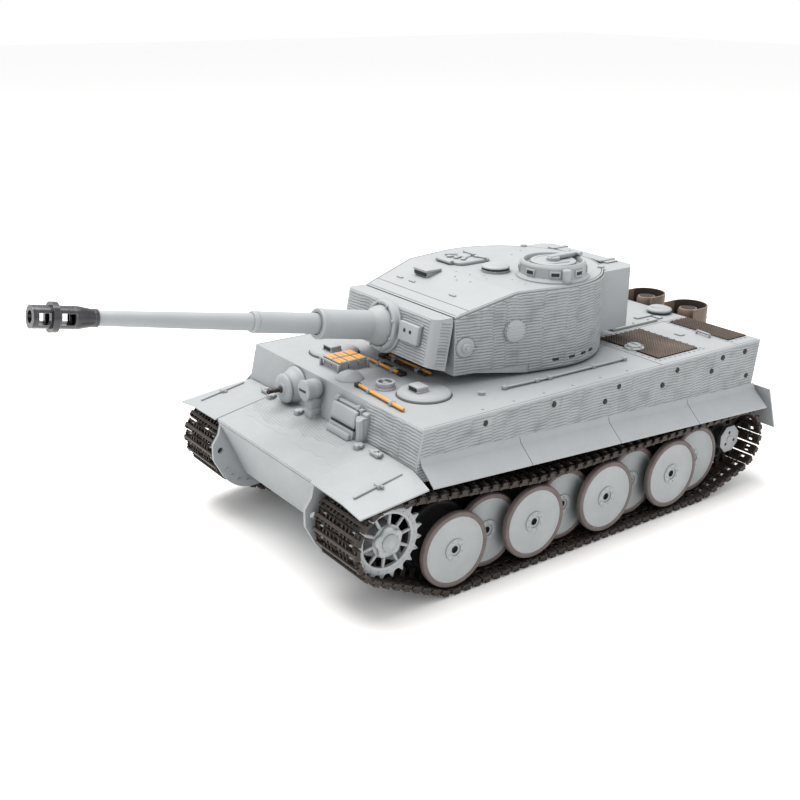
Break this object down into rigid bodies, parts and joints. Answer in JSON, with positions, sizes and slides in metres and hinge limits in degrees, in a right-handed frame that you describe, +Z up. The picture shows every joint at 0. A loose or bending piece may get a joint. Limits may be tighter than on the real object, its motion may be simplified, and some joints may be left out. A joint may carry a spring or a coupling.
{
  "type": "rc tank",
  "caption": "Remote-controlled heavy tank model with a turning turret, elevating recoiling gun, opening hatches, sprung interleaved road wheels and linked tracks",
  "frame": {"origin": "on the ground plane under the middle of the overall length and width", "axes": "+Y towards the rear, the gun faces -Y, +X is the tank's left, +Z up"},
  "size_m": [0.224, 0.5194, 0.1907],
  "materials": {
    "body_plastic": "moulded light grey plastic, matt, with an anti-mine paste texture",
    "wheel_plastic": "moulded grey plastic disc with a darker tyre rim",
    "track_metal": "cast links, dark brown-black burnished",
    "mesh_brown": "woven mesh, dark brown",
    "tool_wood": "yellow wooden handles with steel heads",
    "exhaust_brown": "dark heat-browned sheet",
    "gun_steel": "dark blued steel",
    "brake_chrome": "dark plated, glossy",
    "axle_steel": "dark machined steel arm",
    "gearbox_alloy": "die-cast housing",
    "circuit_parts": "circuit board, cells in sleeve, speaker"
  },
  "bodies": {
    "hull": {"lower_hull": "body_plastic", "upper_hull": "body_plastic", "side_skirts": "body_plastic", "engine_grilles": "mesh_brown", "deck_fittings": "body_plastic", "deck_tools": "tool_wood", "front_fittings": "body_plastic", "exhausts": "exhaust_brown", "drive_units": "gearbox_alloy", "electronics": "circuit_parts", "track_left": "track_metal", "track_right": "track_metal"},
    "turret": {"turret_shell": "body_plastic", "turret_bin": "body_plastic", "cupola": "body_plastic"},
    "gun_cradle": {"mantlet": "body_plastic"},
    "barrel": {"barrel": "body_plastic", "muzzle_brake": "brake_chrome"},
    "commander_hatch": {"commander_hatch": "body_plastic"},
    "loader_hatch": {"loader_hatch": "body_plastic"},
    "driver_hatch": {"driver_hatch": "body_plastic"},
    "radio_hatch": {"radio_hatch": "body_plastic"},
    "engine_hatch": {"engine_hatch": "body_plastic"},
    "hull_mg": {"hull_mg": "gun_steel"},
    "sprocket_left": {"sprocket_left": "body_plastic"},
    "idler_left": {"idler_left": "body_plastic"},
    "arm_left_1": {"arm_left_1": "axle_steel"},
    "road_wheel_left_1": {"road_wheel_left_1": "wheel_plastic"},
    "arm_left_2": {"arm_left_2": "axle_steel"},
    "road_wheel_left_2": {"road_wheel_left_2": "wheel_plastic"},
    "arm_left_3": {"arm_left_3": "axle_steel"},
    "road_wheel_left_3": {"road_wheel_left_3": "wheel_plastic"},
    "arm_left_4": {"arm_left_4": "axle_steel"},
    "road_wheel_left_4": {"road_wheel_left_4": "wheel_plastic"},
    "arm_left_5": {"arm_left_5": "axle_steel"},
    "road_wheel_left_5": {"road_wheel_left_5": "wheel_plastic"},
    "arm_left_6": {"arm_left_6": "axle_steel"},
    "road_wheel_left_6": {"road_wheel_left_6": "wheel_plastic"},
    "arm_left_7": {"arm_left_7": "axle_steel"},
    "road_wheel_left_7": {"road_wheel_left_7": "wheel_plastic"},
    "arm_left_8": {"arm_left_8": "axle_steel"},
    "road_wheel_left_8": {"road_wheel_left_8": "wheel_plastic"},
    "sprocket_right": {"sprocket_right": "body_plastic"},
    "idler_right": {"idler_right": "body_plastic"},
    "arm_right_1": {"arm_right_1": "axle_steel"},
    "road_wheel_right_1": {"road_wheel_right_1": "wheel_plastic"},
    "arm_right_2": {"arm_right_2": "axle_steel"},
    "road_wheel_right_2": {"road_wheel_right_2": "wheel_plastic"},
    "arm_right_3": {"arm_right_3": "axle_steel"},
    "road_wheel_right_3": {"road_wheel_right_3": "wheel_plastic"},
    "arm_right_4": {"arm_right_4": "axle_steel"},
    "road_wheel_right_4": {"road_wheel_right_4": "wheel_plastic"},
    "arm_right_5": {"arm_right_5": "axle_steel"},
    "road_wheel_right_5": {"road_wheel_right_5": "wheel_plastic"},
    "arm_right_6": {"arm_right_6": "axle_steel"},
    "road_wheel_right_6": {"road_wheel_right_6": "wheel_plastic"},
    "arm_right_7": {"arm_right_7": "axle_steel"},
    "road_wheel_right_7": {"road_wheel_right_7": "wheel_plastic"},
    "arm_right_8": {"arm_right_8": "axle_steel"},
    "road_wheel_right_8": {"road_wheel_right_8": "wheel_plastic"}
  },
  "joints": [
    {"name": "turret_traverse", "type": "hinge", "parent": "hull", "child": "turret", "pos_m": [0, 0.07631, 0.1097], "axis": [0, 0, 1], "continuous": true},
    {"name": "gun_elevation", "type": "hinge", "parent": "turret", "child": "gun_cradle", "pos_m": [0, -0.01029, 0.137], "axis": [-1, 0, 0], "range_deg": [-15.8, 3.2]},
    {"name": "gun_recoil", "type": "slide", "parent": "gun_cradle", "child": "barrel", "axis": [0, 0.9823, -0.1874], "range_m": [0, 0.012], "stiffness_N_per_m": 80},
    {"name": "commander_hatch_hinge", "type": "hinge", "parent": "turret", "child": "commander_hatch", "pos_m": [0.037, 0.10191, 0.1791], "axis": [-1, 0, 0], "range_deg": [0, 90]},
    {"name": "loader_hatch_hinge", "type": "hinge", "parent": "turret", "child": "loader_hatch", "pos_m": [-0.032, 0.04271, 0.1676], "axis": [1, 0, 0], "range_deg": [0, 90]},
    {"name": "driver_hatch_swivel", "type": "hinge", "parent": "hull", "child": "driver_hatch", "pos_m": [0.06182, -0.04711, 0.1097], "axis": [0, 0, -1], "range_deg": [0, 135]},
    {"name": "radio_hatch_swivel", "type": "hinge", "parent": "hull", "child": "radio_hatch", "pos_m": [-0.06182, -0.04711, 0.1097], "axis": [0, 0, 1], "range_deg": [0, 135]},
    {"name": "engine_hatch_hinge", "type": "hinge", "parent": "hull", "child": "engine_hatch", "pos_m": [0, 0.20871, 0.1113], "axis": [1, 0, 0], "range_deg": [-75, 0]},
    {"name": "hull_mg_swing", "type": "hinge", "parent": "hull", "child": "hull_mg", "pos_m": [-0.04, -0.07427, 0.096], "axis": [0, 0, 1], "range_deg": [-15, 15]},
    {"name": "sprocket_left_spin", "type": "hinge", "parent": "hull", "child": "sprocket_left", "pos_m": [0.08615, -0.10069, 0.0487], "axis": [1, 0, 0], "continuous": true},
    {"name": "idler_left_spin", "type": "hinge", "parent": "hull", "child": "idler_left", "pos_m": [0.08615, 0.21071, 0.0372], "axis": [1, 0, 0], "continuous": true},
    {"name": "arm_left_1_swing", "type": "hinge", "parent": "hull", "child": "arm_left_1", "pos_m": [0.059, -0.03829, 0.036], "axis": [-1, 0, 0], "range_deg": [0, 8], "stiffness_Nm_per_rad": 0.4},
    {"name": "road_wheel_left_1_spin", "type": "hinge", "parent": "arm_left_1", "child": "road_wheel_left_1", "pos_m": [0.08615, -0.05329, 0.0302], "axis": [1, 0, 0], "continuous": true},
    {"name": "arm_left_2_swing", "type": "hinge", "parent": "hull", "child": "arm_left_2", "pos_m": [0.059, -0.00609, 0.036], "axis": [-1, 0, 0], "range_deg": [0, 8], "stiffness_Nm_per_rad": 0.4},
    {"name": "road_wheel_left_2_spin", "type": "hinge", "parent": "arm_left_2", "child": "road_wheel_left_2", "pos_m": [0.08615, -0.02109, 0.0302], "axis": [1, 0, 0], "continuous": true},
    {"name": "arm_left_3_swing", "type": "hinge", "parent": "hull", "child": "arm_left_3", "pos_m": [0.059, 0.02611, 0.036], "axis": [-1, 0, 0], "range_deg": [0, 8], "stiffness_Nm_per_rad": 0.4},
    {"name": "road_wheel_left_3_spin", "type": "hinge", "parent": "arm_left_3", "child": "road_wheel_left_3", "pos_m": [0.08615, 0.01111, 0.0302], "axis": [1, 0, 0], "continuous": true},
    {"name": "arm_left_4_swing", "type": "hinge", "parent": "hull", "child": "arm_left_4", "pos_m": [0.059, 0.05831, 0.036], "axis": [-1, 0, 0], "range_deg": [0, 8], "stiffness_Nm_per_rad": 0.4},
    {"name": "road_wheel_left_4_spin", "type": "hinge", "parent": "arm_left_4", "child": "road_wheel_left_4", "pos_m": [0.08615, 0.04331, 0.0302], "axis": [1, 0, 0], "continuous": true},
    {"name": "arm_left_5_swing", "type": "hinge", "parent": "hull", "child": "arm_left_5", "pos_m": [0.059, 0.09051, 0.036], "axis": [-1, 0, 0], "range_deg": [0, 8], "stiffness_Nm_per_rad": 0.4},
    {"name": "road_wheel_left_5_spin", "type": "hinge", "parent": "arm_left_5", "child": "road_wheel_left_5", "pos_m": [0.08615, 0.07551, 0.0302], "axis": [1, 0, 0], "continuous": true},
    {"name": "arm_left_6_swing", "type": "hinge", "parent": "hull", "child": "arm_left_6", "pos_m": [0.059, 0.12271, 0.036], "axis": [-1, 0, 0], "range_deg": [0, 8], "stiffness_Nm_per_rad": 0.4},
    {"name": "road_wheel_left_6_spin", "type": "hinge", "parent": "arm_left_6", "child": "road_wheel_left_6", "pos_m": [0.08615, 0.10771, 0.0302], "axis": [1, 0, 0], "continuous": true},
    {"name": "arm_left_7_swing", "type": "hinge", "parent": "hull", "child": "arm_left_7", "pos_m": [0.059, 0.15491, 0.036], "axis": [-1, 0, 0], "range_deg": [0, 8], "stiffness_Nm_per_rad": 0.4},
    {"name": "road_wheel_left_7_spin", "type": "hinge", "parent": "arm_left_7", "child": "road_wheel_left_7", "pos_m": [0.08615, 0.13991, 0.0302], "axis": [1, 0, 0], "continuous": true},
    {"name": "arm_left_8_swing", "type": "hinge", "parent": "hull", "child": "arm_left_8", "pos_m": [0.059, 0.18711, 0.036], "axis": [-1, 0, 0], "range_deg": [0, 8], "stiffness_Nm_per_rad": 0.4},
    {"name": "road_wheel_left_8_spin", "type": "hinge", "parent": "arm_left_8", "child": "road_wheel_left_8", "pos_m": [0.08615, 0.17211, 0.0302], "axis": [1, 0, 0], "continuous": true},
    {"name": "sprocket_right_spin", "type": "hinge", "parent": "hull", "child": "sprocket_right", "pos_m": [-0.08615, -0.10069, 0.0487], "axis": [1, 0, 0], "continuous": true},
    {"name": "idler_right_spin", "type": "hinge", "parent": "hull", "child": "idler_right", "pos_m": [-0.08615, 0.21071, 0.0372], "axis": [1, 0, 0], "continuous": true},
    {"name": "arm_right_1_swing", "type": "hinge", "parent": "hull", "child": "arm_right_1", "pos_m": [-0.059, -0.03829, 0.036], "axis": [-1, 0, 0], "range_deg": [0, 8], "stiffness_Nm_per_rad": 0.4},
    {"name": "road_wheel_right_1_spin", "type": "hinge", "parent": "arm_right_1", "child": "road_wheel_right_1", "pos_m": [-0.08615, -0.05329, 0.0302], "axis": [1, 0, 0], "continuous": true},
    {"name": "arm_right_2_swing", "type": "hinge", "parent": "hull", "child": "arm_right_2", "pos_m": [-0.059, -0.00609, 0.036], "axis": [-1, 0, 0], "range_deg": [0, 8], "stiffness_Nm_per_rad": 0.4},
    {"name": "road_wheel_right_2_spin", "type": "hinge", "parent": "arm_right_2", "child": "road_wheel_right_2", "pos_m": [-0.08615, -0.02109, 0.0302], "axis": [1, 0, 0], "continuous": true},
    {"name": "arm_right_3_swing", "type": "hinge", "parent": "hull", "child": "arm_right_3", "pos_m": [-0.059, 0.02611, 0.036], "axis": [-1, 0, 0], "range_deg": [0, 8], "stiffness_Nm_per_rad": 0.4},
    {"name": "road_wheel_right_3_spin", "type": "hinge", "parent": "arm_right_3", "child": "road_wheel_right_3", "pos_m": [-0.08615, 0.01111, 0.0302], "axis": [1, 0, 0], "continuous": true},
    {"name": "arm_right_4_swing", "type": "hinge", "parent": "hull", "child": "arm_right_4", "pos_m": [-0.059, 0.05831, 0.036], "axis": [-1, 0, 0], "range_deg": [0, 8], "stiffness_Nm_per_rad": 0.4},
    {"name": "road_wheel_right_4_spin", "type": "hinge", "parent": "arm_right_4", "child": "road_wheel_right_4", "pos_m": [-0.08615, 0.04331, 0.0302], "axis": [1, 0, 0], "continuous": true},
    {"name": "arm_right_5_swing", "type": "hinge", "parent": "hull", "child": "arm_right_5", "pos_m": [-0.059, 0.09051, 0.036], "axis": [-1, 0, 0], "range_deg": [0, 8], "stiffness_Nm_per_rad": 0.4},
    {"name": "road_wheel_right_5_spin", "type": "hinge", "parent": "arm_right_5", "child": "road_wheel_right_5", "pos_m": [-0.08615, 0.07551, 0.0302], "axis": [1, 0, 0], "continuous": true},
    {"name": "arm_right_6_swing", "type": "hinge", "parent": "hull", "child": "arm_right_6", "pos_m": [-0.059, 0.12271, 0.036], "axis": [-1, 0, 0], "range_deg": [0, 8], "stiffness_Nm_per_rad": 0.4},
    {"name": "road_wheel_right_6_spin", "type": "hinge", "parent": "arm_right_6", "child": "road_wheel_right_6", "pos_m": [-0.08615, 0.10771, 0.0302], "axis": [1, 0, 0], "continuous": true},
    {"name": "arm_right_7_swing", "type": "hinge", "parent": "hull", "child": "arm_right_7", "pos_m": [-0.059, 0.15491, 0.036], "axis": [-1, 0, 0], "range_deg": [0, 8], "stiffness_Nm_per_rad": 0.4},
    {"name": "road_wheel_right_7_spin", "type": "hinge", "parent": "arm_right_7", "child": "road_wheel_right_7", "pos_m": [-0.08615, 0.13991, 0.0302], "axis": [1, 0, 0], "continuous": true},
    {"name": "arm_right_8_swing", "type": "hinge", "parent": "hull", "child": "arm_right_8", "pos_m": [-0.059, 0.18711, 0.036], "axis": [-1, 0, 0], "range_deg": [0, 8], "stiffness_Nm_per_rad": 0.4},
    {"name": "road_wheel_right_8_spin", "type": "hinge", "parent": "arm_right_8", "child": "road_wheel_right_8", "pos_m": [-0.08615, 0.17211, 0.0302], "axis": [1, 0, 0], "continuous": true}
  ],
  "couplings": [
    {"joint": "idler_left_spin", "follows": "sprocket_left_spin", "ratio": 1.0278},
    {"joint": "road_wheel_left_1_spin", "follows": "sprocket_left_spin", "ratio": 0.888},
    {"joint": "road_wheel_left_2_spin", "follows": "sprocket_left_spin", "ratio": 0.888},
    {"joint": "road_wheel_left_3_spin", "follows": "sprocket_left_spin", "ratio": 0.888},
    {"joint": "road_wheel_left_4_spin", "follows": "sprocket_left_spin", "ratio": 0.888},
    {"joint": "road_wheel_left_5_spin", "follows": "sprocket_left_spin", "ratio": 0.888},
    {"joint": "road_wheel_left_6_spin", "follows": "sprocket_left_spin", "ratio": 0.888},
    {"joint": "road_wheel_left_7_spin", "follows": "sprocket_left_spin", "ratio": 0.888},
    {"joint": "road_wheel_left_8_spin", "follows": "sprocket_left_spin", "ratio": 0.888},
    {"joint": "idler_right_spin", "follows": "sprocket_right_spin", "ratio": 1.0278},
    {"joint": "road_wheel_right_1_spin", "follows": "sprocket_right_spin", "ratio": 0.888},
    {"joint": "road_wheel_right_2_spin", "follows": "sprocket_right_spin", "ratio": 0.888},
    {"joint": "road_wheel_right_3_spin", "follows": "sprocket_right_spin", "ratio": 0.888},
    {"joint": "road_wheel_right_4_spin", "follows": "sprocket_right_spin", "ratio": 0.888},
    {"joint": "road_wheel_right_5_spin", "follows": "sprocket_right_spin", "ratio": 0.888},
    {"joint": "road_wheel_right_6_spin", "follows": "sprocket_right_spin", "ratio": 0.888},
    {"joint": "road_wheel_right_7_spin", "follows": "sprocket_right_spin", "ratio": 0.888},
    {"joint": "road_wheel_right_8_spin", "follows": "sprocket_right_spin", "ratio": 0.888}
  ]
}
